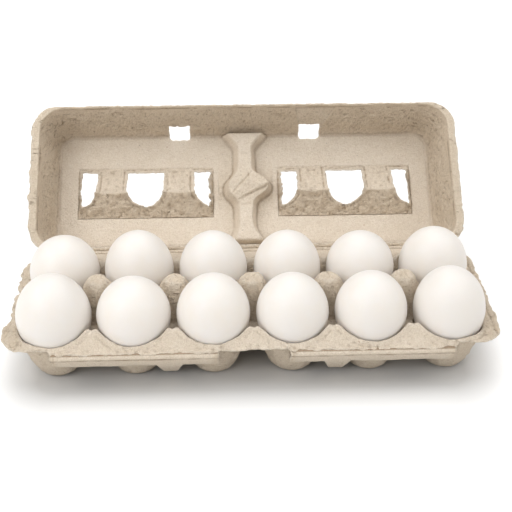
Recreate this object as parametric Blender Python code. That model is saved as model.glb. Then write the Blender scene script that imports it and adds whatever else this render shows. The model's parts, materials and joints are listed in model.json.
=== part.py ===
"""Moulded pulp egg carton, open, with a dozen eggs.

The carton is a two-row tray, a lid folded back on the crease along the tray's rear edge,
and two flaps with latch tabs on creases along its front edge. Metres, +Z up, +X along the
carton, the front at -Y. The origin is the middle of the footprint, on the table.
"""

from math import atan2, cos, hypot, pi, radians, sin, tan

import bmesh
import bpy
from mathutils import Matrix

# ---------------------------------------------------------------- driving dimensions

COLUMNS = 6
PITCH_X = 0.0475  # egg to egg along the carton
PITCH_Y = 0.0485  # front row to back row
PULP = 0.0012  # thickness of the pulp
CLEARANCE = 0.0005  # pulp edge to its neighbour

# the middle of the whole footprint, lid included, behind the middle of the tray
FOOTPRINT_MIDDLE_Y = 0.0500

# cups, inside
FLOOR_RADIUS = 0.0092
FLOOR_Z = PULP
HEEL_RADIUS = 0.0138
HEEL_Z = 0.0061
CUP_DRAFT = 0.335  # radius gained for each unit of height
FACET_ALLOWANCE = 1.014  # keeps the flat facets outside the true round cup

# pulp between the cups
POST_Z = 0.0475
POST_CREST = 0.0075
POST_FOOT = 0.0170
VALLEY_Z = 0.0250
PEAK_Z = 0.0358
PEAK_START_Y = 0.0280
PEAK_Y = 0.0375

# tray margin
FRONT_EDGE_Y = -0.0505
FRONT_EDGE_Z = 0.0272
GAP_EDGE_Y = -0.0492  # between the two flaps
BACK_EDGE_Y = 0.0532
BACK_EDGE_Z = 0.0322
END_EDGE_X = 0.1500
END_FRONT_Z = 0.0292
END_BACK_Z = 0.0318
END_PEAK_RISE = 0.0010
TRAY_CORNER = 0.0180

# lid: s runs from the hinge to the front rim, h from the rim plane to the panel
HINGE_Y = 0.0545
HINGE_Z = 0.0330
LID_LEAN = radians(47.8)  # rim plane from the vertical, at rest
LID_HALF_RIM = 0.1495
LID_HALF_MOUTH = 0.1440
LID_HALF_PANEL = 0.1360
LID_RIM_S = 0.1072
LID_MOUTH_S = 0.1062
LID_PANEL_S = 0.0980
LID_HINGE_S = 0.0010
LID_HINGE_MOUTH_S = 0.0022
LID_HINGE_PANEL_S = 0.0120
LID_DEPTH = 0.0350
LID_CORNER = 0.0170
LID_PANEL_CORNER = 0.0120
# rings of the lid: -1 is its outer rim, 0 its mouth, 1 the edge of its flat panel
INSIDE = 2.0  # a line of the panel itself

# rib across the middle of the lid, and its boss
RIB_HALF_CREST = 0.0040
RIB_HALF_FOOT = 0.0085
RIB_RISE = 0.0100
BOSS_HALF_CREST = 0.0085
BOSS_HALF_FOOT = 0.0140
BOSS_S = (0.0480, 0.0520, 0.0600, 0.0650)

# vents: three windows with two bridges on each half of the lid
VENT_MIDDLE_X = 0.0725
WINDOW_HALF = 0.0137
BRIDGE_OUTER = 0.0345
VENT_HALF = 0.0485
VENT_FOOT_S = 0.0345
WINDOW_LOW_S = 0.0410
BRIDGE_CREST_S = 0.0510
WINDOW_HIGH_S = 0.0695
BRIDGE_RISE = 0.0100

# latch holes, where the front wall meets the panel
LATCH_X = 0.0480
LATCH_HALF = 0.0080
LATCH_WALL_H = 0.0220
LATCH_PANEL_S = 0.0945

# flaps
FLAP_AXIS_Y = -0.0516
FLAP_AXIS_Z = 0.0266
FLAP_INNER_X = 0.0215
FLAP_OUTER_X = 0.1180
FLAP_HEIGHT = 0.0123
FLAP_TUCK = radians(34)  # from straight down towards the cups
TAB_X = 0.0500
TAB_LENGTH = 0.0140
TAB_ROOT_HALF = 0.0078
TAB_TIP_HALF = 0.0047
TAB_BEND = radians(8)

# eggs: blunt end up, widest at EGG_GIRTH_Z
EGG_GIRTH_Z = 0.0371
EGG_BLUNT = 0.0256  # from the widest level to the top
EGG_POINTED = 0.0314  # from the widest level to the bottom
EGG_TAPER = 0.13
EGG_SEGMENTS = 16
EGG_RINGS = 9
# (radius, extra height of the blunt end, lean to the right, lean to the back)
FRONT_EGGS = (
    (0.0222, 0.0015, -1.0, 0.5),
    (0.0222, -0.0016, 0.5, 0.0),
    (0.0222, 0.0000, 1.0, -0.5),
    (0.0218, -0.0009, -0.5, 0.5),
    (0.0218, -0.0006, 0.5, 0.0),
    (0.0217, 0.0021, -1.5, 0.5),
)
BACK_EGGS = (
    (0.0221, -0.0013, 1.0, 0.0),
    (0.0220, 0.0019, -0.5, -0.5),
    (0.0218, 0.0004, 0.0, 0.5),
    (0.0217, -0.0001, 0.5, 0.0),
    (0.0218, -0.0014, -1.0, 0.0),
    (0.0220, 0.0009, 0.5, -0.5),
)

# colours: name, base colour, roughness
PULP_FINISHES = {
    "tray": ((0.66, 0.58, 0.48), 0.92),
    "lid": ((0.67, 0.59, 0.49), 0.92),
    "flap_left": ((0.64, 0.56, 0.46), 0.92),
    "flap_right": ((0.63, 0.55, 0.45), 0.92),
}
EGG_COLOUR = (0.93, 0.90, 0.86)
EGG_ROUGHNESS = 0.45


# ---------------------------------------------------------------- helpers


def blend(a, b, t):
    return a + (b - a) * t


def ramp(value, start, end):
    """0 before start, 1 after end, straight between."""
    return min(max((value - start) / (end - start), 0.0), 1.0)


def clear_scene():
    for obj in list(bpy.data.objects):
        bpy.data.objects.remove(obj, do_unlink=True)


def finish(name, colour, roughness):
    material = bpy.data.materials.new(name)
    material.use_nodes = True
    shader = material.node_tree.nodes["Principled BSDF"]
    shader.inputs["Base Color"].default_value = (*colour, 1.0)
    shader.inputs["Roughness"].default_value = roughness
    shader.inputs["Metallic"].default_value = 0.0
    return material


def add_object(name, mesh, material, parent, location):
    mesh.materials.append(material)
    mesh.shade_smooth()
    mesh.set_sharp_from_angle(angle=radians(35))
    obj = bpy.data.objects.new(name, mesh)
    bpy.context.scene.collection.objects.link(obj)
    obj.parent = parent
    obj.location = location
    return obj


def thicken(obj, offset):
    """Give a sheet the thickness of pulp: offset -1 grows behind its face, 0 both ways."""
    solid = obj.modifiers.new("pulp", "SOLIDIFY")
    solid.thickness = PULP
    solid.offset = offset
    solid.use_even_offset = True
    solid.use_rim = True
    solid.use_quality_normals = True


# ---------------------------------------------------------------- tray


def cup_z(rho):
    """Inside of a cup at the distance rho from its axis."""
    if rho <= FLOOR_RADIUS:
        return FLOOR_Z
    if rho <= HEEL_RADIUS:
        return blend(FLOOR_Z, HEEL_Z, (rho - FLOOR_RADIUS) / (HEEL_RADIUS - FLOOR_RADIUS))
    return HEEL_Z + (rho - HEEL_RADIUS) / CUP_DRAFT


def margin_z(x, y):
    """Sloping margins round the tray, as if there were no cups."""
    if y < 0:
        rise = (PEAK_Z - FRONT_EDGE_Z) / (-PEAK_Y - FRONT_EDGE_Y)
        row = min(PEAK_Z, FRONT_EDGE_Z + rise * max(y - FRONT_EDGE_Y, 0.0))
    else:
        rise = (PEAK_Z - BACK_EDGE_Z) / (BACK_EDGE_Y - PEAK_Y)
        row = min(PEAK_Z, BACK_EDGE_Z + rise * max(BACK_EDGE_Y - y, 0.0))
    along = ramp(y, -PITCH_Y, PITCH_Y)
    end = blend(END_FRONT_Z, END_BACK_Z, along) + END_PEAK_RISE * (1 - ramp(abs(y), 0, 0.015))
    last_axis = PITCH_X * (COLUMNS - 1) / 2
    return blend(row, end, ramp(abs(x), last_axis + 0.008, last_axis + 0.019))


def roof_z(x, y):
    """Pulp between the cups: posts on the middle line, valleys, and the margins."""
    column = min(max(round(x / PITCH_X), -2), 2)
    from_post = hypot(x - column * PITCH_X, y)
    inner = blend(POST_Z, VALLEY_Z, ramp(from_post, POST_CREST, POST_FOOT))
    last_axis = PITCH_X * (COLUMNS - 1) / 2
    to_side = ramp(abs(y), PEAK_START_Y, PEAK_Y)
    to_end = ramp(abs(x), last_axis + 0.010, last_axis + 0.018)
    return blend(inner, margin_z(x, y), max(to_side, to_end))


def round_tray_corner(x, y):
    """Move a point on the sharp outline onto the rounded one."""
    side = -1 if y < 0 else 1
    edge_y = FRONT_EDGE_Y if y < 0 else BACK_EDGE_Y
    centre_x = END_EDGE_X - TRAY_CORNER
    centre_y = abs(edge_y) - TRAY_CORNER
    if abs(x) <= centre_x or abs(y) <= centre_y:
        return x, y
    angle = atan2(abs(y) - centre_y, abs(x) - centre_x)
    round_x = centre_x + TRAY_CORNER * cos(angle)
    round_y = centre_y + TRAY_CORNER * sin(angle)
    return (round_x if x > 0 else -round_x), side * round_y


def cell_outline(column, row):
    """Points round one cell, anticlockwise: shared borders, or the tray's own edge."""
    x_low = (column - COLUMNS / 2) * PITCH_X
    x_high = x_low + PITCH_X
    if column == 0:
        x_low = -END_EDGE_X
    if column == COLUMNS - 1:
        x_high = END_EDGE_X
    across = [0.0, 0.19, 0.35, 0.5, 0.65, 0.81, 1.0]
    edge_y = FRONT_EDGE_Y if row == 0 else BACK_EDGE_Y
    up = [0.0, 0.0080, 0.0170, 0.0260, 0.0330, 0.0400, abs(edge_y)]
    xs = [blend(x_low, x_high, t) for t in across]
    ys = [y if row == 1 else -y for y in up]
    loop = [(x, 0.0) for x in xs[:-1]]
    loop += [(x_high, y) for y in ys[:-1]]
    loop += [(x, edge_y) for x in reversed(xs[1:])]
    loop += [(x_low, y) for y in reversed(ys[1:])]
    if row == 0:
        loop = [loop[0]] + loop[:0:-1]
    points = []
    for x, y in loop:
        if y == FRONT_EDGE_Y and abs(x) < FLAP_INNER_X:
            y = GAP_EDGE_Y
        points.append(round_tray_corner(x, y))
    return points


def rim_radius(axis_x, axis_y, angle, limit):
    """Distance from the axis at which the cup's wall meets the roof."""
    low = HEEL_RADIUS
    high = limit
    for _ in range(40):
        middle = (low + high) / 2
        x = axis_x + middle * cos(angle)
        y = axis_y + middle * sin(angle)
        if cup_z(middle) < roof_z(x, y):
            low = middle
        else:
            high = middle
    return low


def tray_mesh():
    """One sheet: the inside of the tray, each cell a fan of rings round its axis."""
    work = bmesh.new()
    made = {}

    def vertex(x, y, z):
        key = (round(x * 1e6), round(y * 1e6))
        if key not in made:
            made[key] = work.verts.new((x, y, z))
        return made[key]

    for row in (0, 1):
        axis_y = PITCH_Y * (row - 0.5)
        for column in range(COLUMNS):
            axis_x = PITCH_X * (column - (COLUMNS - 1) / 2)
            rings = []
            for x, y in cell_outline(column, row):
                angle = atan2(y - axis_y, x - axis_x)
                reach = hypot(x - axis_x, y - axis_y)
                rim = rim_radius(axis_x, axis_y, angle, reach - 0.0005)
                spoke = []
                for rho in (FLOOR_RADIUS, HEEL_RADIUS, rim):
                    wide = min(rho * FACET_ALLOWANCE, reach - 0.0003)
                    spoke.append(
                        vertex(
                            axis_x + wide * cos(angle),
                            axis_y + wide * sin(angle),
                            cup_z(rho),
                        )
                    )
                spoke.append(vertex(x, y, roof_z(x, y)))
                rings.append(spoke)
            centre = vertex(axis_x, axis_y, FLOOR_Z)
            for spoke, following in zip(rings, rings[1:] + rings[:1]):
                work.faces.new((centre, spoke[0], following[0]))
                for a, b, c, d in zip(spoke, spoke[1:], following[1:], following):
                    work.faces.new((a, b, c, d))
    bmesh.ops.recalc_face_normals(work, faces=work.faces)
    if sum(face.normal.z for face in work.faces) < 0:
        bmesh.ops.reverse_faces(work, faces=work.faces)
    bmesh.ops.triangulate(work, faces=work.faces)
    mesh = bpy.data.meshes.new("tray")
    work.to_mesh(mesh)
    work.free()
    return mesh


# ---------------------------------------------------------------- lid


def lid_x_lines():
    """Lines across the lid, from the middle to the end, with their ring value."""
    vent = [
        VENT_MIDDLE_X - VENT_HALF,
        VENT_MIDDLE_X - BRIDGE_OUTER,
        VENT_MIDDLE_X - WINDOW_HALF,
        VENT_MIDDLE_X + WINDOW_HALF,
        VENT_MIDDLE_X + BRIDGE_OUTER,
        VENT_MIDDLE_X + VENT_HALF,
    ]
    inner = [0.0, RIB_HALF_CREST, RIB_HALF_FOOT, BOSS_HALF_FOOT] + vent
    inner += [LATCH_X - LATCH_HALF, LATCH_X + LATCH_HALF]
    half = [(x, INSIDE) for x in sorted(inner)]
    half += [
        (LID_HALF_PANEL - LID_PANEL_CORNER / 2, INSIDE),
        (LID_HALF_PANEL, 1.0),
        (blend(LID_HALF_MOUTH, LID_HALF_PANEL, 0.5), 0.5),
        (LID_HALF_MOUTH, 0.0),
        (LID_HALF_RIM, -1.0),
    ]
    return [(-x, ring) for x, ring in reversed(half[1:])] + half


def lid_s_lines():
    """Lines along the lid, from the hinge to the front rim, with their ring value."""
    latch_ring = LATCH_WALL_H / LID_DEPTH
    latch_s = blend(LID_MOUTH_S, LID_PANEL_S, latch_ring)
    flat = [VENT_FOOT_S, WINDOW_LOW_S, BRIDGE_CREST_S, WINDOW_HIGH_S]
    flat += [BOSS_S[0], BOSS_S[2], BOSS_S[3], LATCH_PANEL_S]
    flat += [LID_HINGE_PANEL_S + LID_PANEL_CORNER, LID_PANEL_S - LID_PANEL_CORNER]
    lines = [
        (LID_HINGE_S, -1.0),
        (LID_HINGE_MOUTH_S, 0.0),
        (blend(LID_HINGE_MOUTH_S, LID_HINGE_PANEL_S, 0.5), 0.5),
        (LID_HINGE_PANEL_S, 1.0),
    ]
    lines += [(s, INSIDE) for s in sorted(flat)]
    lines += [
        (LID_PANEL_S, 1.0),
        (latch_s, latch_ring),
        (LID_MOUTH_S, 0.0),
        (LID_RIM_S, -1.0),
    ]
    return lines


def ring_box(ring):
    """Half width, hinge side, front side and corner radius of a ring of the lid."""
    if ring < 0:
        return (
            blend(LID_HALF_MOUTH, LID_HALF_RIM, -ring),
            blend(LID_HINGE_MOUTH_S, LID_HINGE_S, -ring),
            blend(LID_MOUTH_S, LID_RIM_S, -ring),
            LID_CORNER,
        )
    return (
        blend(LID_HALF_MOUTH, LID_HALF_PANEL, ring),
        blend(LID_HINGE_MOUTH_S, LID_HINGE_PANEL_S, ring),
        blend(LID_MOUTH_S, LID_PANEL_S, ring),
        blend(LID_CORNER, LID_PANEL_CORNER, ring),
    )


def round_lid_corner(x, s, ring):
    """Move a grid point near a corner of its ring onto that ring's arc."""
    if ring == INSIDE:
        return x, s
    half, low, high, radius = ring_box(ring)
    centre_x = half - radius
    middle = (low + high) / 2
    centre_s = low + radius if s < middle else high - radius
    outward = -1 if s < middle else 1
    if abs(x) <= centre_x or (s - centre_s) * outward <= 0:
        return x, s
    angle = atan2((s - centre_s) * outward, abs(x) - centre_x)
    round_x = centre_x + radius * cos(angle)
    round_s = centre_s + outward * radius * sin(angle)
    return (round_x if x > 0 else -round_x), round_s


def lid_rise(x, s):
    """How far the rib, the boss and the vent bridges stand in from the panel."""
    width = abs(x)
    rib = RIB_RISE * (1 - ramp(width, RIB_HALF_CREST, RIB_HALF_FOOT))
    in_boss = min(ramp(s, BOSS_S[0], BOSS_S[1]), 1 - ramp(s, BOSS_S[2], BOSS_S[3]))
    boss = RIB_RISE * in_boss * (1 - ramp(width, BOSS_HALF_CREST, BOSS_HALF_FOOT))
    from_vent = abs(width - VENT_MIDDLE_X)
    on_bridge = WINDOW_HALF - 1e-6 <= from_vent <= BRIDGE_OUTER + 1e-6
    up = ramp(s, VENT_FOOT_S, BRIDGE_CREST_S)
    down = 1 - ramp(s, BRIDGE_CREST_S, WINDOW_HIGH_S)
    bridge = BRIDGE_RISE * min(up, down) if on_bridge else 0.0
    return max(rib, boss, bridge)


def lid_h(x, s, ring):
    """Depth of the inside of the lid below its rim plane."""
    wall = LID_DEPTH * min(max(ring, 0.0), 1.0)
    return min(wall, LID_DEPTH - lid_rise(x, s))


def in_window(x, s):
    """True inside a vent window or a latch hole, for the middle of a grid face."""
    from_vent = abs(abs(x) - VENT_MIDDLE_X)
    beside = BRIDGE_OUTER < from_vent < VENT_HALF
    window = (from_vent < WINDOW_HALF or beside) and WINDOW_LOW_S < s < WINDOW_HIGH_S
    latch_top = blend(LID_MOUTH_S, LID_PANEL_S, LATCH_WALL_H / LID_DEPTH)
    latch = abs(abs(x) - LATCH_X) < LATCH_HALF and LATCH_PANEL_S < s < latch_top
    return window or latch


def lid_mesh():
    """One sheet, the inside of the lid as when shut: hinge at y 0, front rim at -y."""
    work = bmesh.new()
    x_lines = lid_x_lines()
    s_lines = lid_s_lines()
    grid = []
    for s, s_ring in s_lines:
        line = []
        for x, x_ring in x_lines:
            ring = min(s_ring, x_ring)
            h = lid_h(x, s, ring)
            round_x, round_s = round_lid_corner(x, s, ring)
            line.append(work.verts.new((round_x, -round_s, h)))
        grid.append(line)
    for j in range(len(s_lines) - 1):
        for i in range(len(x_lines) - 1):
            middle_x = (x_lines[i][0] + x_lines[i + 1][0]) / 2
            middle_s = (s_lines[j][0] + s_lines[j + 1][0]) / 2
            if in_window(middle_x, middle_s):
                continue
            corners = (grid[j][i], grid[j + 1][i], grid[j + 1][i + 1], grid[j][i + 1])
            work.faces.new(corners)
    bmesh.ops.recalc_face_normals(work, faces=work.faces)
    if sum(face.normal.z for face in work.faces) > 0:
        bmesh.ops.reverse_faces(work, faces=work.faces)
    bmesh.ops.triangulate(work, faces=work.faces)
    mesh = bpy.data.meshes.new("lid")
    work.to_mesh(mesh)
    work.free()
    return mesh


# ---------------------------------------------------------------- flaps


def flap_mesh(side):
    """A plate hanging from its crease at the origin, with a bent tab; side is -1 or 1."""
    work = bmesh.new()
    stations = [
        FLAP_INNER_X,
        TAB_X - TAB_ROOT_HALF,
        TAB_X - TAB_TIP_HALF,
        TAB_X + TAB_TIP_HALF,
        TAB_X + TAB_ROOT_HALF,
        FLAP_OUTER_X,
    ]
    top = [work.verts.new((side * x, 0.0, 0.0)) for x in stations]
    foot = [work.verts.new((side * x, 0.0, -FLAP_HEIGHT)) for x in stations]
    for a, b, c, d in zip(top, top[1:], foot[1:], foot):
        work.faces.new((a, b, c, d))
    tip_y = TAB_LENGTH * sin(TAB_BEND)
    tip_z = -FLAP_HEIGHT - TAB_LENGTH * cos(TAB_BEND)
    tips = [
        work.verts.new((side * (TAB_X + half), tip_y, tip_z))
        for half in (-TAB_TIP_HALF, TAB_TIP_HALF)
    ]
    work.faces.new((foot[1], foot[2], tips[0]))
    work.faces.new((foot[2], foot[3], tips[1], tips[0]))
    work.faces.new((foot[3], foot[4], tips[1]))
    bmesh.ops.recalc_face_normals(work, faces=work.faces)
    bmesh.ops.triangulate(work, faces=work.faces)
    bmesh.ops.transform(
        work, matrix=Matrix.Rotation(FLAP_TUCK, 4, "X"), verts=work.verts
    )
    mesh = bpy.data.meshes.new("flap")
    work.to_mesh(mesh)
    work.free()
    return mesh


# ---------------------------------------------------------------- eggs


def egg_radius(height, radius, blunt):
    """Radius of the shell at a height above or below its widest level."""
    if height >= 0:
        return radius * (1 - (height / blunt) ** 2) ** 0.5
    t = min(-height / EGG_POINTED, 1.0)
    return radius * (1 - t * t) ** 0.5 * (1 - EGG_TAPER * t * (1 + t) / 2)


def egg_mesh(radius, extra):
    """A closed turned shell round its own axis, widest at the origin."""
    blunt = EGG_BLUNT + extra
    work = bmesh.new()
    rings = []
    for ring in range(1, EGG_RINGS):
        angle = pi * ring / EGG_RINGS
        reach = cos(angle)
        height = reach * (blunt if reach > 0 else EGG_POINTED)
        girth = egg_radius(height, radius, blunt)
        circle = []
        for step in range(EGG_SEGMENTS):
            turn = 2 * pi * step / EGG_SEGMENTS
            circle.append(work.verts.new((girth * cos(turn), girth * sin(turn), height)))
        rings.append(circle)
    top = work.verts.new((0.0, 0.0, blunt))
    bottom = work.verts.new((0.0, 0.0, -EGG_POINTED))
    for step in range(EGG_SEGMENTS):
        following = (step + 1) % EGG_SEGMENTS
        work.faces.new((top, rings[0][step], rings[0][following]))
        work.faces.new((bottom, rings[-1][following], rings[-1][step]))
        for upper, lower in zip(rings, rings[1:]):
            work.faces.new((upper[step], lower[step], lower[following], upper[following]))
    bmesh.ops.recalc_face_normals(work, faces=work.faces)
    mesh = bpy.data.meshes.new("egg")
    work.to_mesh(mesh)
    work.free()
    return mesh


# ---------------------------------------------------------------- the carton


def build():
    clear_scene()
    carton = bpy.data.objects.new("carton", None)
    bpy.context.scene.collection.objects.link(carton)
    carton.location = (0.0, -FOOTPRINT_MIDDLE_Y, 0.0)
    pulp = {name: finish(name, *look) for name, look in PULP_FINISHES.items()}

    tray = add_object("tray", tray_mesh(), pulp["tray"], carton, (0.0, 0.0, 0.0))
    thicken(tray, -1.0)

    lid = add_object("lid", lid_mesh(), pulp["lid"], carton, (0.0, HINGE_Y, HINGE_Z))
    lid.rotation_euler = (-(pi / 2 + LID_LEAN), 0.0, 0.0)
    thicken(lid, -1.0)

    for name, side in (("flap_left", -1), ("flap_right", 1)):
        place = (0.0, FLAP_AXIS_Y, FLAP_AXIS_Z)
        flap = add_object(name, flap_mesh(side), pulp[name], carton, place)
        thicken(flap, 0.0)

    shell = finish("eggshell", EGG_COLOUR, EGG_ROUGHNESS)
    for row, (label, eggs) in enumerate((("front", FRONT_EGGS), ("back", BACK_EGGS))):
        for column, (radius, extra, right, back) in enumerate(eggs):
            x = PITCH_X * (column - (COLUMNS - 1) / 2)
            y = PITCH_Y * (row - 0.5)
            name = f"egg_{label}_{column + 1}"
            egg = add_object(name, egg_mesh(radius, extra), shell, carton, (x, y, EGG_GIRTH_Z))
            egg.rotation_euler = (radians(-back), radians(right), 0.0)


build()
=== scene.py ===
"""Looks of the open egg carton: pulp tray, lid, flaps and folds, and a dozen white eggs.

Every piece is built in the frame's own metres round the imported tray, lid and eggs.
"""

import json
from math import cos, pi, radians, sin, tan

import bpy
import numpy as np
from mathutils import Matrix, Vector


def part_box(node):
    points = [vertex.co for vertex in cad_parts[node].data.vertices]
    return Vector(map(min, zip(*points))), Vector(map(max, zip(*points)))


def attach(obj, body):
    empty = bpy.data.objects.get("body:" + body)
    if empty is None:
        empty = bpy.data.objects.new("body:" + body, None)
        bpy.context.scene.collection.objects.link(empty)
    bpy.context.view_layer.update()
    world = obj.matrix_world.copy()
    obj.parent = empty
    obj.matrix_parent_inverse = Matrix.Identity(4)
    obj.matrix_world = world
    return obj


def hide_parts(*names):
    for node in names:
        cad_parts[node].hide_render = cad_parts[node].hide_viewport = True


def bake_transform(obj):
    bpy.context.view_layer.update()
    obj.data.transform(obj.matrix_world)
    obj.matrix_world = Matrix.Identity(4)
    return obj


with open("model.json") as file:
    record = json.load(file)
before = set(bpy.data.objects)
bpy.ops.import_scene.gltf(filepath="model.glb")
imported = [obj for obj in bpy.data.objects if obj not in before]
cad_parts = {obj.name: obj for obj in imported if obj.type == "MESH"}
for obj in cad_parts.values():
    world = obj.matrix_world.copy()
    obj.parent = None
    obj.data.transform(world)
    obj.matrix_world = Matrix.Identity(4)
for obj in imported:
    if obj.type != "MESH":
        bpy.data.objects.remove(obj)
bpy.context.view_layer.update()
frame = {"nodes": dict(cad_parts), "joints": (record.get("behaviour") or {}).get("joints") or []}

MM = 0.001

# ---------------------------------------------------------------- places, from the frame

JOINTS = {joint["name"]: joint for joint in frame["joints"]}
COLUMNS = 6


def box_middle(node):
    low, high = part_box(node)
    return (low + high) / 2


FRONT_AXES = [box_middle(f"egg_front_{n + 1}") for n in range(COLUMNS)]
BACK_AXES = [box_middle(f"egg_back_{n + 1}") for n in range(COLUMNS)]
PITCH_X = round((FRONT_AXES[-1].x - FRONT_AXES[0].x) / (COLUMNS - 1), 4)
TRAY_Y = round((FRONT_AXES[2].y + BACK_AXES[2].y) / 2, 4)
PITCH_Y = round(BACK_AXES[2].y - FRONT_AXES[2].y, 4)
TRAY_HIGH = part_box("tray")[1]
HINGE = Vector(JOINTS["lid_crease"]["pos_m"])
FLAP_AXIS = Vector(JOINTS["flap_left_crease"]["pos_m"])
FLAP_AXIS.x = 0.0

# ---------------------------------------------------------------- sizes

PULP = 1.2 * MM
MERGE_STEP = 2e-7

# cups and what stands between them, heights above the table
CUP_START = 12.1 * MM
CUP_BEND = 1.25 * MM
CUP_SLOPE = 1 / 0.335
POST_Z = 47.6 * MM
POST_CREST = 6.0 * MM
POST_FOOT = 17.5 * MM
VALLEY_Z = 25.0 * MM
PEAK_Z = 36.2 * MM
PEAK_START_Y = 28.0 * MM
PEAK_Y = 37.5 * MM
FRONT_EDGE_Y = -50.3 * MM
FRONT_EDGE_Z = 27.3 * MM
GAP_EDGE_Y = -49.0 * MM
CORNER_EDGE_Y = -47.8 * MM
BACK_EDGE_Y = 52.8 * MM
BACK_EDGE_Z = 31.7 * MM
END_EDGE_X = TRAY_HIGH.x - 0.9 * MM
END_FRONT_Z = 29.2 * MM
END_BACK_Z = 31.8 * MM
TRAY_CORNER = 18.0 * MM
FLAP_INNER_X = 21.5 * MM
FLAP_OUTER_X = 118.0 * MM

# lid, shut: s from the hinge to the front rim, h from the rim plane up to the panel,
# and p the path over the panel and down the front wall, which starts as s does
LID_LEAN = radians(47.8)
LID_HALF_RIM = 148.8 * MM
LID_HALF_MOUTH = 144.0 * MM
LID_HALF_PANEL = 136.0 * MM
LID_RIM_S = 106.7 * MM
LID_MOUTH_S = 105.9 * MM
LID_PANEL_S = 98.0 * MM
LID_HINGE_S = 1.2 * MM
LID_HINGE_MOUTH_S = 2.5 * MM
LID_HINGE_PANEL_S = 12.0 * MM
LID_DEPTH = 35.0 * MM
LID_CORNER = 17.0 * MM
LID_PANEL_CORNER = 12.0 * MM
MOUTH_BEND = 0.5 * MM
PANEL_BEND = 2.6 * MM
MOUTH_STEPS = 3
WALL_STEPS = 42
PANEL_STEPS = 5
LID_GRID = 0.62 * MM
LID_COARSE_GRID = 0.9 * MM

# rib in the lid
RIB_RISE = 10.2 * MM

# vents and latch holes
VENT_X = 72.5 * MM
WINDOW_HALF = 13.7 * MM
BRIDGE_OUTER = 34.5 * MM
WINDOW_OUTER = 47.3 * MM
VENT_FOOT_S = 34.5 * MM
WINDOW_LOW_S = 41.0 * MM
WINDOW_ROUND_S = 54.0 * MM
CREST_S = 51.0 * MM
WINDOW_HIGH_S = 69.5 * MM
BRIDGE_RISE = 11.2 * MM
VENT_HALF = 49.0 * MM
VENT_TOP_S = 73.0 * MM
LATCH_X = 47.8 * MM
LATCH_HALF = 8.0 * MM
LATCH_LOW_P = 94.4 * MM
LATCH_HIGH_P = 109.6 * MM

# flaps
FOLD_STEPS = 12
TAB_STEPS = 14
FLAP_HEIGHT = 12.3 * MM
FLAP_TUCK = radians(34)
TAB_X = 50.0 * MM
TAB_LENGTH = 14.0 * MM
TAB_ROOT_HALF = 7.8 * MM
TAB_TIP_HALF = 4.7 * MM
TAB_BEND = radians(1.5)
APRON_SLOPE = radians(31)

# blobs of loose fibre on the lid's left rim: (s, width, size)
LEFT_RIM_BLOBS = (
    (40 * MM, 2.4 * MM, 1.3 * MM),
    (57 * MM, 4.0 * MM, 0.9 * MM),
    (88 * MM, 3.2 * MM, 0.8 * MM),
)


# ---------------------------------------------------------------- small maths


def ramp(value, start, end):
    return np.clip((value - start) / (end - start), 0.0, 1.0)


def smooth(value, start, end):
    t = ramp(value, start, end)
    return t * t * (3 - 2 * t)


def mix(a, b, t):
    return a + (b - a) * t


def bell(distance, width):
    return np.exp(-((distance / width) ** 2))


def soft_min(a, b, width):
    """The lower of two heights, rounded where they cross."""
    t = np.clip(0.5 + 0.5 * (b - a) / width, 0.0, 1.0)
    return mix(b, a, t) - width * t * (1 - t)


def soft_max(a, b, width):
    return -soft_min(-a, -b, width)


class Grain:
    """Smooth noise from -1 to 1 on a fixed lattice."""

    def __init__(self, seed, size=40):
        self.size = size
        self.lattice = np.random.default_rng(seed).uniform(-1, 1, (size, size, size))

    def __call__(self, points, cell):
        q = np.asarray(points) / cell
        base = np.floor(q).astype(int)
        f = q - base
        f = f * f * (3 - 2 * f)
        total = np.zeros(len(q))
        for corner in range(8):
            step = np.array([corner & 1, corner >> 1 & 1, corner >> 2 & 1])
            weight = np.prod(np.where(step, f, 1 - f), axis=1)
            i, j, k = ((base + step) % self.size).T
            total += weight * self.lattice[i, j, k]
        return total


GRAIN = Grain(7)
# drawn out four times along one slanting direction
STREAK_TURN = np.diag([1.0, 0.3, 1.0]) @ np.array(Matrix.Rotation(radians(35), 3, "Z"))


def pulp_relief(points, rough_and_painted_light):
    """Height of the pulp's own unevenness, in metres: smooth faces at 0, coarse ones at 1."""
    broad = GRAIN(points, 14 * MM) * 0.20
    middle = GRAIN(points + 0.3, 5.2 * MM) * mix(0.08, 0.42, rough_and_painted_light)
    fine = GRAIN(points + 0.7, 2.2 * MM) * mix(0.05, 0.40, rough_and_painted_light)
    streaks = GRAIN(points @ STREAK_TURN + 0.9, 2.6 * MM)
    scuffs = (1 - smooth(np.abs(streaks), 0.0, 0.13)) * 0.42 * rough_and_painted_light
    return (broad + middle + fine - scuffs) * MM


# ---------------------------------------------------------------- meshes


def face_normals(points, faces):
    a, b, c, d = (points[faces[:, k]] for k in range(4))
    return np.cross(c - a, d - b)


def vertex_normals(points, faces):
    """Area-weighted normals at the points of a sheet of quads."""
    normals = np.zeros_like(points)
    flat = face_normals(points, faces)
    for k in range(4):
        np.add.at(normals, faces[:, k], flat)
    length = np.linalg.norm(normals, axis=1, keepdims=True)
    return normals / np.maximum(length, 1e-12)


def raised(points, normals, height):
    return points + normals * height[:, None]


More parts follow.
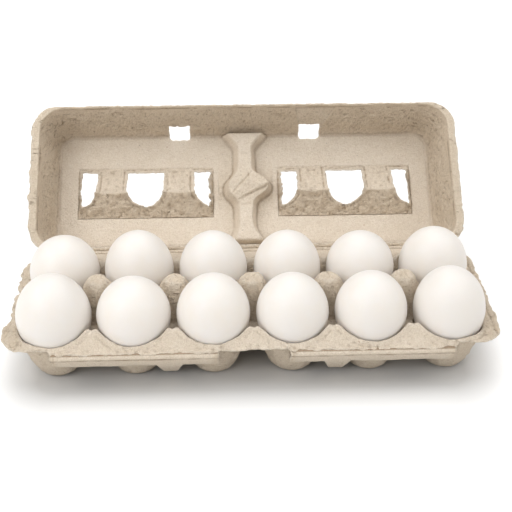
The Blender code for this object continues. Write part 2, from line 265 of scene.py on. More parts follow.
def hollows(points, faces, normals):
    """How far a sheet curves in (1) or out into ridges (-1) at each point, from its curvature; it sets
    painted shade in the dips and painted highlight on the ridges.
    """
    total, length, count = np.zeros((3, len(points)))
    after = np.roll(faces, -1, axis=1)
    for k in range(4):
        for a, b in ((faces[:, k], after[:, k]), (after[:, k], faces[:, k])):
            step = points[b] - points[a]
            np.add.at(total, a, (step * normals[a]).sum(axis=1))
            np.add.at(length, a, np.linalg.norm(step, axis=1))
            np.add.at(count, a, 1)
    mean_length = length / np.maximum(count, 1)
    curvature = 2 * total / np.maximum(count, 1) / np.maximum(mean_length, 0.45 * MM) ** 2
    value = np.clip(curvature * 1.6 * MM, -1, 1)
    rim = np.unique(edges_of_sheet(faces))
    value[rim] = 0.0
    summed = value.copy()
    count = np.ones(len(points))
    for a, b in zip(faces.T, after.T):
        np.add.at(summed, a, value[b])
        np.add.at(count, a, 1)
    return summed / count


def edges_of_sheet(faces):
    """Directed edges used by one face only."""
    pairs = np.stack([faces.T.ravel(), np.roll(faces, -1, axis=1).T.ravel()], axis=1)
    pairs = pairs[pairs[:, 0] != pairs[:, 1]]
    low = pairs.min(axis=1).astype(np.int64)
    high = pairs.max(axis=1).astype(np.int64)
    key = low * (faces.max() + 1) + high
    _, first, count = np.unique(key, return_index=True, return_counts=True)
    return pairs[first[count == 1]]


def used_only(points, faces):
    """Drop the points that no face uses; returns them, the faces and the old numbers."""
    used = np.unique(faces)
    index = np.full(len(points), -1)
    index[used] = np.arange(len(used))
    return points[used], index[faces], used


def shell(points, faces, thickness, rough_and_painted_light, back_relief, crease_shade=None):
    """Thicken a sheet behind its face, with a rounded, slightly torn edge.

    Returns the points, the faces, and the looks of each point: how coarse it is, which also sets
    painted bounce light and shade; its curvature, for painted shade in dips and folds and painted
    highlight on ridges; and its torn rims, paler as rubbed fibre and as painted highlight.
    """
    normals = vertex_normals(points, faces)
    # curvature, deepened along scored folds: painted shade in the dips and painted highlight on ridges
    cavity_shading = hollows(points, faces, normals)
    if crease_shade is not None:
        cavity_shading = np.maximum(cavity_shading, crease_shade)
    depth = thickness + GRAIN(points + 1.3, 3.1 * MM) * back_relief
    back = raised(points, normals, -depth)
    rim = edges_of_sheet(faces)
    outward = np.zeros_like(points)
    along = points[rim[:, 1]] - points[rim[:, 0]]
    for k in (0, 1):
        np.add.at(outward, rim[:, k], np.cross(along, normals[rim[:, k]]))
    length = np.linalg.norm(outward, axis=1, keepdims=True)
    outward = outward / np.maximum(length, 1e-12)
    on_rim = np.unique(rim)
    middle_index = np.full(len(points), -1)
    middle_index[on_rim] = 2 * len(points) + np.arange(len(on_rim))
    bulge = 0.42 * thickness * (1 + 0.5 * GRAIN(points[on_rim], 1.7 * MM))
    middle = (points[on_rim] + back[on_rim]) / 2 + outward[on_rim] * bulge[:, None]
    everything = np.concatenate([points, back, middle])
    count = len(points)
    a, b = rim[:, 0], rim[:, 1]
    sides = np.concatenate(
        [
            np.stack([b, a, middle_index[a], middle_index[b]], axis=1),
            np.stack([middle_index[b], middle_index[a], a + count, b + count], axis=1),
        ]
    )
    whole = np.concatenate([faces, faces[:, ::-1] + count, sides])
    # paler rims: partly rubbed, loose fibre and partly painted highlight where the torn edge catches
    # light
    worn_and_highlight = np.zeros(len(everything))
    worn_and_highlight[on_rim] = 0.6
    worn_and_highlight[on_rim + count] = 0.5
    worn_and_highlight[2 * count :] = 1.0
    looks = {
        "rough_and_painted_light": np.concatenate([rough_and_painted_light, np.full(count, 0.75), np.ones(len(on_rim))]),
        "cavity_shading": np.concatenate([cavity_shading, np.minimum(-cavity_shading * 0.7, 0.3), np.zeros(len(on_rim))]),
        "worn_and_highlight": worn_and_highlight,
    }
    return everything, whole, looks


def make_object(name, points, faces, material, looks):
    polygons = [tuple(dict.fromkeys(face)) for face in faces.tolist()]
    polygons = [face for face in polygons if len(face) > 2]
    mesh = bpy.data.meshes.new(name)
    mesh.from_pydata(points.tolist(), [], polygons)
    mesh.validate()
    mesh.shade_smooth()
    mesh.materials.append(material)
    for look, values in looks.items():
        attribute = mesh.attributes.new(look, "FLOAT", "POINT")
        attribute.data.foreach_set("value", values.astype(np.float32))
    obj = bpy.data.objects.new(name, mesh)
    bpy.context.scene.collection.objects.link(obj)
    return obj


def merge_points(points):
    """Join points that lie on each other; returns the points kept and the new numbers."""
    key = np.round(points / MERGE_STEP).astype(np.int64)
    _, first, index = np.unique(key, axis=0, return_index=True, return_inverse=True)
    return points[first], index.reshape(-1)


def grid_faces(rows, columns):
    """Quads of a grid of points numbered row by row."""
    j, i = np.meshgrid(np.arange(rows - 1), np.arange(columns - 1), indexing="ij")
    a = (j * columns + i).reshape(-1)
    return np.stack([a, a + 1, a + columns + 1, a + columns], axis=1)


def drawn_along_x(section, xs):
    """The sheet that a (y, z) section makes along x, as points and faces."""
    x = np.repeat(xs[None, :], len(section), axis=0)
    yz = np.repeat(section[:, None, :], len(xs), axis=1)
    points = np.concatenate([x[:, :, None], yz], axis=2).reshape(-1, 3)
    return points, grid_faces(len(section), len(xs))


def turned_to(points, faces, probe, side):
    """The faces, flipped where need be so that the probed one looks to the given side."""
    return faces if face_normals(points, faces)[probe].dot(side) > 0 else faces[:, ::-1]


def stand_for(node):
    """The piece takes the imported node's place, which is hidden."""
    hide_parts(node)


# ---------------------------------------------------------------- materials


class Nodes:
    """Short way to lay out the nodes of a new material or world."""

    def __init__(self, owner, shader="Principled BSDF"):
        owner.use_nodes = True
        self.material = owner
        self.tree = owner.node_tree
        self.shader = self.tree.nodes[shader]

    def add(self, kind, values=None, **settings):
        node = self.tree.nodes.new(kind)
        for key, value in settings.items():
            setattr(node, key, value)
        for key, value in (values or {}).items():
            if isinstance(value, bpy.types.NodeSocket):
                self.tree.links.new(value, node.inputs[key])
            else:
                node.inputs[key].default_value = value
        return node

    def read(self, attribute):
        return self.add("ShaderNodeAttribute", attribute_name=attribute).outputs["Fac"]

    def link(self, output, socket):
        self.tree.links.new(output, socket)

    def noise(self, position, scale, detail=3.0, roughness=0.55):
        values = {"Vector": position, "Scale": scale, "Detail": detail, "Roughness": roughness}
        return self.add("ShaderNodeTexNoise", values).outputs["Fac"]

    def spread(self, value, low, high, to_low=0.0, to_high=1.0):
        values = {0: value, 1: low, 2: high, 3: to_low, 4: to_high}
        return self.add("ShaderNodeMapRange", values, clamp=True).outputs[0]

    def maths(self, operation, a, b):
        return self.add("ShaderNodeMath", {0: a, 1: b}, operation=operation).outputs[0]

    def vector(self, operation, a, b=(0.0, 0.0, 0.0)):
        return self.add("ShaderNodeVectorMath", {0: a, 1: b}, operation=operation).outputs[0]

    def stretched(self, position, turn, scale):
        values = {"Vector": position, "Rotation": turn, "Scale": scale}
        return self.add("ShaderNodeMapping", values).outputs[0]

    def cells(self, position, scale):
        values = {"Vector": position, "Scale": scale, "Randomness": 1.0}
        return self.add("ShaderNodeTexVoronoi", values).outputs

    def tinted(self, tone, mask, amount, shade, blend="MIX"):
        return self.colour_mix(self.maths("MULTIPLY", mask, amount), tone, shade, blend)

    def colour_mix(self, factor, a, b, blend="MIX"):
        node = self.add("ShaderNodeMix", data_type="RGBA", blend_type=blend)
        for socket, value in ((node.inputs[0], factor), (node.inputs[6], a), (node.inputs[7], b)):
            if isinstance(value, bpy.types.NodeSocket):
                self.link(value, socket)
            else:
                socket.default_value = value
        return node.outputs[2]


def laid_fibres(n, tone, bent):
    """Matted fibres: noise drawn out along two crossing directions; returns tone and height."""
    fibre_height = None
    for turn, stretch in ((0.5, (1500, 260, 900)), (-0.9, (280, 1600, 950))):
        strand = n.noise(n.stretched(bent, (0.35, 0.2, turn), stretch), 1.0, 2.0, 0.6)
        light = n.spread(strand, 0.56, 0.72)
        dark = n.spread(strand, 0.42, 0.28)
        tone = n.tinted(tone, light, 0.34, (0.82, 0.74, 0.63, 1.0))
        tone = n.tinted(tone, dark, 0.26, (0.44, 0.34, 0.24, 1.0))
        share = n.maths("MULTIPLY", strand, 0.5)
        fibre_height = share if fibre_height is None else n.maths("ADD", fibre_height, share)
    return tone, fibre_height


def flecked(n, tone, bent):
    """Flecks of old print and bark, grey, rusty and brown."""
    for scale, size, shade, amount in (
        (310.0, 0.13, (0.10, 0.085, 0.08, 1.0), 0.75),
        (210.0, 0.12, (0.36, 0.17, 0.06, 1.0), 0.70),
        (620.0, 0.16, (0.24, 0.16, 0.10, 1.0), 0.55),
    ):
        cells = n.cells(bent, scale)
        spot = n.spread(cells["Distance"], size, size * 0.45)
        chance = n.add("ShaderNodeSeparateColor", {0: cells["Color"]}).outputs[0]
        mark = n.maths("MULTIPLY", spot, n.spread(chance, 0.90, 0.94))
        tone = n.tinted(tone, mark, amount, shade)
    return tone


def wear_and_painted_light(n, tone, place, bent, rough_and_painted_light, cracks):
    """Coarse faces are paler and browner, partly their own tone and partly painted bounce light and
    shade; dips and folds get painted shade, ridges painted highlight, and torn rims are paler in
    patches, partly rubbed fibre and partly painted highlight.
    """
    cavity_shading = n.read("cavity_shading")
    worn_and_highlight = n.read("worn_and_highlight")
    speckle = n.spread(n.noise(bent, 1250.0, 2.0, 0.7), 0.36, 0.64)
    tone = n.tinted(tone, n.spread(speckle, 0.5, 0.0), 0.36, (0.76, 0.70, 0.61, 1.0), "MULTIPLY")
    more = n.spread(rough_and_painted_light, 0.0, 1.0, 0.25, 0.45)
    tone = n.tinted(tone, n.spread(speckle, 0.5, 1.0), more, (0.88, 0.82, 0.72, 1.0))
    # coarse faces: paler as painted bounce light, and browner, partly their own tone and partly
    # painted shade
    tone = n.tinted(tone, rough_and_painted_light, 0.30, (0.86, 0.76, 0.63, 1.0))
    tone = n.tinted(tone, rough_and_painted_light, 0.6, (1.0, 0.93, 0.83, 1.0), "MULTIPLY")
    tone = n.tinted(tone, cracks, 0.75, (0.55, 0.43, 0.30, 1.0), "MULTIPLY")
    # painted shade: dips and folds darkened
    sunk_shade = n.spread(cavity_shading, 0.04, 0.75, 0.0, 0.72)
    tone = n.colour_mix(sunk_shade, tone, (0.34, 0.25, 0.16, 1.0), "MULTIPLY")
    # painted highlight: ridges lightened
    ridge_highlight = n.spread(cavity_shading, -0.04, -0.6, 0.0, 0.5)
    tone = n.colour_mix(ridge_highlight, tone, (0.80, 0.72, 0.62, 1.0))
    # torn rims paler in patches: partly rubbed fibre, partly painted highlight
    patchy = n.maths("MULTIPLY", worn_and_highlight, n.spread(n.noise(place, 900.0, 3.0), 0.40, 0.60))
    return n.tinted(tone, patchy, 0.75, (0.90, 0.83, 0.72, 1.0))


def pulp_material():
    """Grey-beige moulded paper pulp: mottled, fibrous, flecked, cracked and rubbed, with painted
    shade, painted highlight and painted bounce light laid on.
    """
    n = Nodes(bpy.data.materials.new("moulded_pulp"))
    place = n.add("ShaderNodeTexCoord").outputs["Object"]
    warp = n.add("ShaderNodeTexNoise", {"Vector": place, "Scale": 420.0, "Detail": 2.0})
    bend = n.vector("SUBTRACT", warp.outputs["Color"], (0.5, 0.5, 0.5))
    bend = n.add("ShaderNodeVectorMath", {0: bend, 3: 0.0016}, operation="SCALE").outputs[0]
    bent = n.vector("ADD", place, bend)
    # how coarse each face is: it sets the relief and cracks, and painted bounce light and shade
    rough_and_painted_light = n.read("rough_and_painted_light")

    pale = (0.760, 0.675, 0.570, 1.0)
    broad = n.spread(n.noise(place, 26.0, 3.0), 0.34, 0.68)
    middle = n.spread(n.noise(place, 170.0, 4.0, 0.6), 0.36, 0.66)
    tone = n.tinted((0.690, 0.594, 0.482, 1.0), broad, 0.55, pale)
    tone = n.tinted(tone, middle, 0.35, pale)
    blot = n.spread(n.noise(bent, 330.0, 3.0, 0.65), 0.56, 0.74)
    tone = n.tinted(tone, blot, 0.30, (0.500, 0.405, 0.300, 1.0))
    tone, fibre_height = laid_fibres(n, tone, bent)
    tone = flecked(n, tone, bent)
    torn = n.stretched(bent, (0.2, 0.5, 0.62), (150, 620, 480))
    cracks = n.spread(n.noise(torn, 1.0, 4.0, 0.7), 0.60, 0.67)
    where = n.spread(n.noise(place, 110.0, 3.0), 0.46, 0.58)
    cracks = n.maths("MULTIPLY", n.maths("MULTIPLY", cracks, where), n.spread(rough_and_painted_light, 0.3, 0.9))
    tone = wear_and_painted_light(n, tone, place, bent, rough_and_painted_light, cracks)
    n.link(tone, n.shader.inputs["Base Color"])

    coarse = n.noise(place, 620.0, 4.0, 0.62)
    pebble = n.noise(bent, 1350.0, 3.0, 0.6)
    height = n.maths("ADD", n.maths("MULTIPLY", coarse, 0.9), n.maths("MULTIPLY", pebble, 0.5))
    height = n.maths("ADD", height, n.maths("MULTIPLY", fibre_height, 0.9))
    height = n.maths("MULTIPLY", height, n.spread(rough_and_painted_light, 0.0, 1.0, 0.55, 1.5))
    height = n.maths("SUBTRACT", height, n.maths("MULTIPLY", cracks, 0.8))
    bump = n.add("ShaderNodeBump", {"Height": height, "Strength": 1.0, "Distance": 0.0014})
    n.link(bump.outputs[0], n.shader.inputs["Normal"])
    n.link(n.spread(middle, 0.0, 1.0, 0.86, 0.97), n.shader.inputs["Roughness"])
    n.shader.inputs["Specular IOR Level"].default_value = 0.22
    return n.material


def egg_material(name, warmth):
    """White eggshell: satin, faintly mottled, with fine pores."""
    n = Nodes(bpy.data.materials.new(name))
    place = n.add("ShaderNodeTexCoord").outputs["Object"]
    mottle = n.spread(n.noise(place, 60.0, 4.0, 0.6), 0.35, 0.7)
    white = (0.785, 0.748, 0.708, 1.0)
    cream = (0.780, 0.738 - 0.012 * warmth, 0.690 - 0.030 * warmth, 1.0)
    tone = n.colour_mix(mottle, white, cream)
    pore = n.spread(n.cells(place, 900.0)["Distance"], 0.34, 0.10)
    tone = n.tinted(tone, pore, 0.05, (0.78, 0.72, 0.66, 1.0))
    n.link(tone, n.shader.inputs["Base Color"])
    grain = n.noise(place, 1500.0, 3.0, 0.6)
    swell = n.noise(place, 190.0, 3.0, 0.5)
    height = n.maths("ADD", n.maths("MULTIPLY", grain, 0.25), n.maths("MULTIPLY", swell, 0.8))
    height = n.maths("SUBTRACT", height, n.maths("MULTIPLY", pore, 0.35))
    bump = n.add("ShaderNodeBump", {"Height": height, "Strength": 0.35, "Distance": 0.00012})
    n.link(bump.outputs[0], n.shader.inputs["Normal"])
    n.link(n.spread(mottle, 0.0, 1.0, 0.40, 0.50), n.shader.inputs["Roughness"])
    n.shader.inputs["Specular IOR Level"].default_value = 0.35
    n.shader.inputs["Subsurface Weight"].default_value = 0.12
    n.shader.inputs["Subsurface Radius"].default_value = (0.004, 0.003, 0.002)
    return n.material


PULP_LOOK = pulp_material()


# ---------------------------------------------------------------- tray

SPOKES_PER_SIDE = 42


def cup_z(rho):
    """Inside of a cup: flat floor, rounded heel, straight drafted wall."""
    return PULP + CUP_SLOPE * CUP_BEND * np.log1p(np.exp((rho - CUP_START) / CUP_BEND))


def margin_z(x, y):
    """Sloping margins round the tray, as if there were no cups."""
    front_rise = (PEAK_Z - FRONT_EDGE_Z) / (-PEAK_Y - FRONT_EDGE_Y)
    back_rise = (PEAK_Z - BACK_EDGE_Z) / (BACK_EDGE_Y - PEAK_Y)
    front = FRONT_EDGE_Z + front_rise * (y - FRONT_EDGE_Y)
    back = BACK_EDGE_Z + back_rise * (BACK_EDGE_Y - y)
    row = soft_min(np.where(y < 0, front, back), PEAK_Z, 1.6 * MM)
    end = mix(END_FRONT_Z, END_BACK_Z, ramp(y, -PITCH_Y, PITCH_Y))
    end = end + 0.6 * MM * np.sin(y / (9 * MM) + np.sign(x))
    last_axis = PITCH_X * (COLUMNS - 1) / 2
    return mix(row, end, smooth(np.abs(x), last_axis + 4 * MM, last_axis + 20 * MM))


def roof_z(x, y):
    """Pulp between the cups: posts on the middle line, valleys, and the margins."""
    column = np.clip(np.round(x / PITCH_X), -2, 2)
    from_post = np.hypot(x - column * PITCH_X, y)
    dome = POST_Z - 1.1 * MM * (from_post / POST_CREST) ** 2
    inner = mix(dome, VALLEY_Z, smooth(from_post, POST_CREST, POST_FOOT))
    inner = np.maximum(inner, VALLEY_Z)
    last_axis = PITCH_X * (COLUMNS - 1) / 2
    to_side = smooth(np.abs(y), PEAK_START_Y, PEAK_Y)
    to_end = smooth(np.abs(x), last_axis + 9 * MM, last_axis + 18 * MM)
    return mix(inner, margin_z(x, y), np.maximum(to_side, to_end))


def front_edge_y(x):
    """The front edge: stepped back between the flaps and beyond their outer ends."""
    beyond = smooth(np.abs(x), FLAP_OUTER_X - 0.5 * MM, FLAP_OUTER_X + 2.5 * MM)
    between = 1 - smooth(np.abs(x), FLAP_INNER_X - 2.5 * MM, FLAP_INNER_X)
    edge = mix(FRONT_EDGE_Y, CORNER_EDGE_Y, beyond)
    return mix(edge, GAP_EDGE_Y, between)


def round_tray_corner(x, y):
    edge_y = np.where(y < 0, -front_edge_y(x), BACK_EDGE_Y)
    centre_x = END_EDGE_X - TRAY_CORNER
    centre_y = edge_y - TRAY_CORNER
    angle = np.arctan2(np.abs(y) - centre_y, np.abs(x) - centre_x)
    inside = (np.abs(x) <= centre_x) | (np.abs(y) <= centre_y)
    round_x = np.sign(x) * (centre_x + TRAY_CORNER * np.cos(angle))
    round_y = np.sign(y) * (centre_y + TRAY_CORNER * np.sin(angle))
    return np.where(inside, x, round_x), np.where(inside, y, round_y)


def cell_outline(column, row):
    """Points round one cell, anticlockwise from above."""
    x_low = (column - COLUMNS / 2) * PITCH_X
    x_high = x_low + PITCH_X
    if column == 0:
        x_low = -END_EDGE_X
    if column == COLUMNS - 1:
        x_high = END_EDGE_X
    t = np.arange(SPOKES_PER_SIDE) / SPOKES_PER_SIDE
    zero = np.zeros_like(t)
    to_right = mix(x_low, x_high, t)
    to_left = mix(x_high, x_low, t)
    if row == 1:
        sides = [
            (to_right, zero),
            (zero + x_high, BACK_EDGE_Y * t),
            (to_left, zero + BACK_EDGE_Y),
            (zero + x_low, BACK_EDGE_Y * (1 - t)),
        ]
    else:
        sides = [
            (to_right, front_edge_y(to_right)),
            (zero + x_high, front_edge_y(x_high) * (1 - t)),
            (to_left, zero),
            (zero + x_low, front_edge_y(x_low) * t),
        ]
    x, y = (np.concatenate(values) for values in zip(*sides))
    return round_tray_corner(x, y)


def spoke_distances(rim, reach):
    """Distances along each spoke: floor, heel, wall, rounded rim, then out to the border."""
    floor = np.array([2.5, 5.0, 7.2, 8.8, 10.0, 11.0, 11.9, 12.8, 13.7, 14.6]) * MM
    wall = 14.6 * MM + (rim[:, None] - 16.4 * MM) * np.linspace(0, 1, 13)[None, 1:]
    room = np.minimum(reach - rim, 12 * MM)[:, None]
    near = np.array([-1.2, -0.7, -0.3, 0.0, 0.3, 0.7, 1.1]) * MM
    bend = rim[:, None] + np.where(near < 0, near, near * np.minimum(room / (2 * MM), 1.0))
    last = bend[:, -1:]
    outer = last + (reach[:, None] - last) * np.linspace(0, 1, 13)[None, 1:]
    fixed = np.repeat(floor[None, :], len(rim), axis=0)
    return np.concatenate([fixed, wall, bend, outer], axis=1)


def rim_distance(axis_x, axis_y, angle, reach):
    """Distance from the axis at which each spoke's wall meets the roof."""
    low = np.full(len(angle), 14 * MM)
    high = reach - 0.6 * MM
    for _ in range(30):
        middle = (low + high) / 2
        x = axis_x + middle * np.cos(angle)
        y = axis_y + middle * np.sin(angle)
        below = cup_z(middle) < roof_z(x, y)
        low = np.where(below, middle, low)
        high = np.where(below, high, middle)
    return low


def cell_points(column, row):
    """Points of one cell along its spokes, as spokes by rings, and the middle of its floor."""
    axis_x = PITCH_X * (column - (COLUMNS - 1) / 2)
    axis_y = PITCH_Y * (row - 0.5)
    x, y = cell_outline(column, row)
    angle = np.arctan2(y - axis_y, x - axis_x)
    reach = np.hypot(x - axis_x, y - axis_y)
    rim = rim_distance(axis_x, axis_y, angle, reach)
    rho = spoke_distances(rim, reach)
    px = axis_x + rho * np.cos(angle)[:, None]
    py = axis_y + rho * np.sin(angle)[:, None]
    px[:, -1] = x
    py[:, -1] = y
    roof = roof_z(px, py)
    pz = soft_min(cup_z(rho), roof, mix(1.3, 3.0, smooth(roof, 33 * MM, 44 * MM)) * MM)
    # the outer rims have a lip, and beyond it a broken crease
    beyond = rho - rim[:, None]
    outer = smooth(np.abs(py), 26 * MM, 34 * MM)
    flat = np.stack([px, py, pz * 0], axis=2).reshape(-1, 3)
    broken = smooth(GRAIN(flat + 8.1, 9 * MM), -0.5, 0.5).reshape(px.shape)
    lip = 0.30 * bell(beyond - 1.0 * MM, 1.0 * MM)
    pz += outer * (lip - 0.45 * bell(beyond - 3.2 * MM, 0.8 * MM) * broken) * MM
    return np.stack([px, py, pz], axis=2), [axis_x, axis_y, cup_z(0.0)]


def tray_sheet():
    """The upper face of the tray: for each cell, rings of points round the egg's axis."""
    points = []
    faces = []
    start = 0
    for row in (0, 1):
        for column in range(COLUMNS):
            block, middle = cell_points(column, row)
            spokes, rings, _ = block.shape
            points += [block.reshape(-1, 3), np.array([middle])]
            a = start + np.arange(spokes) * rings
            b = np.roll(a, -1)
            start += spokes * rings + 1
            faces.append(np.stack([np.full(spokes, start - 1), a, b, b], axis=1))
            for k in range(rings - 1):
                faces.append(np.stack([a + k, a + k + 1, b + k + 1, b + k], axis=1))
    points, index = merge_points(np.concatenate(points))
    return points, index[np.concatenate(faces)]


def roughen_margin(points):
    """Torn outer edge: wander in and out, a curled left end and a grooved right end."""
    x, y = points[:, 0], points[:, 1]
    far_x = np.abs(x)
    out = points.copy()
    from_end = END_EDGE_X - far_x
    from_front = y - front_edge_y(x)
    from_back = BACK_EDGE_Y - y
    from_edge = np.minimum(np.minimum(from_end, from_front), from_back)
    near = 1 - smooth(from_edge, 0, 5 * MM)
    flat = points * np.array([1.0, 1.0, 0.0])
    wander = GRAIN(flat + 2.1, 6.5 * MM) * 0.55 + GRAIN(flat + 4.2, 2.4 * MM) * 0.40
    free_front = np.maximum(
        smooth(far_x, FLAP_OUTER_X, FLAP_OUTER_X + 3 * MM),
        1 - smooth(far_x, FLAP_INNER_X - 3 * MM, FLAP_INNER_X),
    )
    pull = near * (wander - 0.25) * MM
    torn_end = mix(2.6, 1.3, smooth(x, -20 * MM, 20 * MM))
    out[:, 0] += np.where(from_end < 5 * MM, np.sign(x) * np.minimum(pull * torn_end, 0.35 * MM), 0.0)
    in_front = from_front < 5 * MM
    out[:, 1] -= np.where(in_front, np.minimum(pull, 0.35 * MM) * mix(0.7, 1.2, free_front), 0.0)
    left_curl = (1 - smooth(END_EDGE_X + x, 0, 5.5 * MM)) * (x < 0)
    out[:, 2] -= left_curl * (1.3 + 1.4 * GRAIN(flat + 5.0, 8 * MM)) * 1.3 * MM
    on_end = smooth(far_x, END_EDGE_X - 15 * MM, END_EDGE_X - 9 * MM)
    out[:, 2] += on_end * GRAIN(flat + 3.9, 7 * MM) * mix(0.9, 0.5, smooth(x, -9 * MM, 9 * MM)) * MM
    groove = bell(END_EDGE_X - x - 3.4 * MM, 0.9 * MM) * (x > 0)
    out[:, 2] -= groove * 0.95 * MM
    # the front edge over the flaps is torn ragged and stands a little proud
    over_flap = (1 - free_front) * (1 - smooth(from_front, 0.2 * MM, 2.2 * MM))
    out[:, 2] += over_flap * (0.45 + 0.55 * GRAIN(flat + 7.7, 4 * MM)) * MM
    ragged = GRAIN(flat + 6.6, 3.4 * MM) * 1.1 + GRAIN(flat + 2.6, 12 * MM) * 0.9
    out[:, 1] += over_flap * np.maximum(ragged, -0.3) * MM
    # lumps of torn fibre where each flap ends
    flap_end = bell(far_x - FLAP_OUTER_X, 3.5 * MM)
    flap_end = np.maximum(flap_end, bell(far_x - FLAP_INNER_X, 3.0 * MM))
    lumpy = flap_end * (1 - smooth(from_front, 1 * MM, 6 * MM)) * (y < 0)
    out[:, 2] += lumpy * GRAIN(flat + 1.2, 2.4 * MM) * 1.1 * MM
    return out


def build_tray():
    points, faces = tray_sheet()
    points = roughen_margin(points)
    normals = vertex_normals(points, faces)
    # coarse faces: steep walls, post tops and the ends; the pulp colour gives them painted bounce
    # light and shade
    steep = 1 - smooth(normals[:, 2], 0.45, 0.85)
    to_end = smooth(np.abs(points[:, 0]), 130 * MM, 142 * MM)
    post = smooth(points[:, 2], 37 * MM, 42 * MM)
    rough_and_painted_light = np.maximum(np.maximum(0.9 * steep, 0.85 * post), mix(0.35, 0.9, to_end))
    near_front = (1 - smooth(points[:, 1] - FRONT_EDGE_Y, 1.5 * MM, 5 * MM)) * (points[:, 2] > 20 * MM)
    rough_and_painted_light = np.maximum(rough_and_painted_light, 0.45 * near_front)
    on_floor = smooth(points[:, 2], 1.5 * MM, 6 * MM)
    calm = on_floor * (0.2 + 0.8 * smooth(BACK_EDGE_Y - points[:, 1], 2 * MM, 9 * MM))
    points = raised(points, normals, pulp_relief(points, rough_and_painted_light) * calm)
    on_post = post * (np.abs(points[:, 1]) < 20 * MM)
    points[:, 2] += on_post * (GRAIN(points + 9.4, 4.5 * MM) * 0.9 - 0.3) * MM
    points[:, 1] += TRAY_Y
    points, faces, looks = shell(points, faces, PULP, rough_and_painted_light, 0.10 * MM)
    points[:, 2] = np.maximum(points[:, 2], 0.0)
    tray = make_object("tray_pulp", points, faces, PULP_LOOK, looks)
    stand_for("tray")
    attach(tray, "tray")


build_tray()


# ---------------------------------------------------------------- lid


def wall_profile():
    """Rings of the lid from its rim inwards: (share of flange, share of wall, h, inset)."""
    run = LID_MOUTH_S - LID_PANEL_S
    slope = np.arctan2(LID_DEPTH, run)
    place = [-MOUTH_BEND * tan(slope / 2), 0.0]
    rings = [(t, t * place[0] / run, 0.0, 0.0) for t in (0.0, 0.35, 0.7)]

    def advance(length, heading):
        place[0] += length * cos(heading)
        place[1] += length * sin(heading)
        rings.append((1.0, place[0] / run, place[1], 0.0))

    advance(0.0, 0.0)
    for k in range(MOUTH_STEPS):
        turn = slope / MOUTH_STEPS
        advance(2 * MOUTH_BEND * sin(turn / 2), (k + 0.5) * turn)
    wall = (LID_DEPTH - (MOUTH_BEND + PANEL_BEND) * (1 - cos(slope))) / sin(slope)
    for k in range(WALL_STEPS):
        advance(wall / WALL_STEPS, slope)
    for k in range(PANEL_STEPS):
        turn = slope / PANEL_STEPS
        advance(2 * PANEL_BEND * sin(turn / 2), slope - (k + 0.5) * turn)
    inner_corner = LID_PANEL_CORNER - 1.0 * MM
    for k in range(1, 10):
        inset = inner_corner * k / 9.3
        rings.append((1.0, place[0] / run, LID_DEPTH, inset))
    return rings


RINGS = wall_profile()


def ring_box(ring):
    """Half width, hinge side, front side and corner radius of a ring."""
    flange, wall, _, inset = RINGS[ring]
    half = LID_HALF_RIM - flange * (LID_HALF_RIM - LID_HALF_MOUTH)
    half -= wall * (LID_HALF_MOUTH - LID_HALF_PANEL) + inset
    low = LID_HINGE_S + flange * (LID_HINGE_MOUTH_S - LID_HINGE_S)
    low += wall * (LID_HINGE_PANEL_S - LID_HINGE_MOUTH_S) + inset
    high = LID_RIM_S - flange * (LID_RIM_S - LID_MOUTH_S)
    high -= wall * (LID_MOUTH_S - LID_PANEL_S) + inset
    corner = LID_CORNER + wall * (LID_PANEL_CORNER - LID_CORNER) - inset
    return half, low, high, corner


def lid_lines():
    """Grid lines: (x, ring) across and (s, ring, path) along; ring -1 is the open panel."""
    count = len(RINGS)
    half_in, low_in, high_in, _ = ring_box(count - 1)
    side = [(ring_box(k)[0], k) for k in range(count)]
    open_x = np.arange(0.3 * MM, half_in - 0.35 * MM, LID_GRID)
    half = [(x, -1) for x in open_x]
    across = [(-x, k) for x, k in side] + [(-x, k) for x, k in reversed(half)]
    across += half + [(x, k) for x, k in reversed(side)]
    hinge_side = [(ring_box(k)[1], k) for k in range(count)]
    front_side = [(ring_box(k)[2], k) for k in reversed(range(count))]
    open_s = np.concatenate([
        np.arange(low_in + LID_COARSE_GRID, 32 * MM, LID_COARSE_GRID),
        np.arange(32.4 * MM, 74 * MM, 0.6 * MM),
        np.arange(74.5 * MM, high_in - 0.4 * MM, LID_COARSE_GRID),
    ])
    along = hinge_side + [(s, -1) for s in open_s] + front_side
    path = [s for s, _ in along[: -count]]
    last = (high_in, LID_DEPTH)
    travelled = high_in
    for s, k in front_side:
        h = RINGS[k][2]
        travelled += np.hypot(s - last[0], h - last[1])
        last = (s, h)
        path.append(travelled)
    return across, [(s, k, p) for (s, k), p in zip(along, path)]


def vent_opening(x, p):
    """Negative inside the windows of the vents."""
    q = np.abs(np.abs(x) - VENT_X)
    drop = ramp(WINDOW_ROUND_S - p, 0, WINDOW_ROUND_S - WINDOW_LOW_S)
    bow = np.sqrt(np.maximum(1 - drop**2, 0.0))
    centre = q - WINDOW_HALF * bow
    beside = np.maximum(BRIDGE_OUTER + 12 * MM * (1 - bow) - q, q - WINDOW_OUTER)
    sides = np.minimum(centre, beside)
    return np.maximum(np.maximum(sides, p - WINDOW_HIGH_S), WINDOW_LOW_S - p)


def latch_opening(x, p):
    """Negative inside the latch holes: square at the top, round below."""
    middle = (LATCH_LOW_P + LATCH_HIGH_P) / 2
    tall = (LATCH_HIGH_P - LATCH_LOW_P) / 2
    corner = np.where(p < middle, 3.0 * MM, 0.8 * MM)
    dx = np.abs(np.abs(x) - LATCH_X) - LATCH_HALF + corner
    dp = np.abs(p - middle) - tall + corner
    outside = np.hypot(np.maximum(dx, 0), np.maximum(dp, 0))
    return outside + np.minimum(np.maximum(dx, dp), 0) - corner


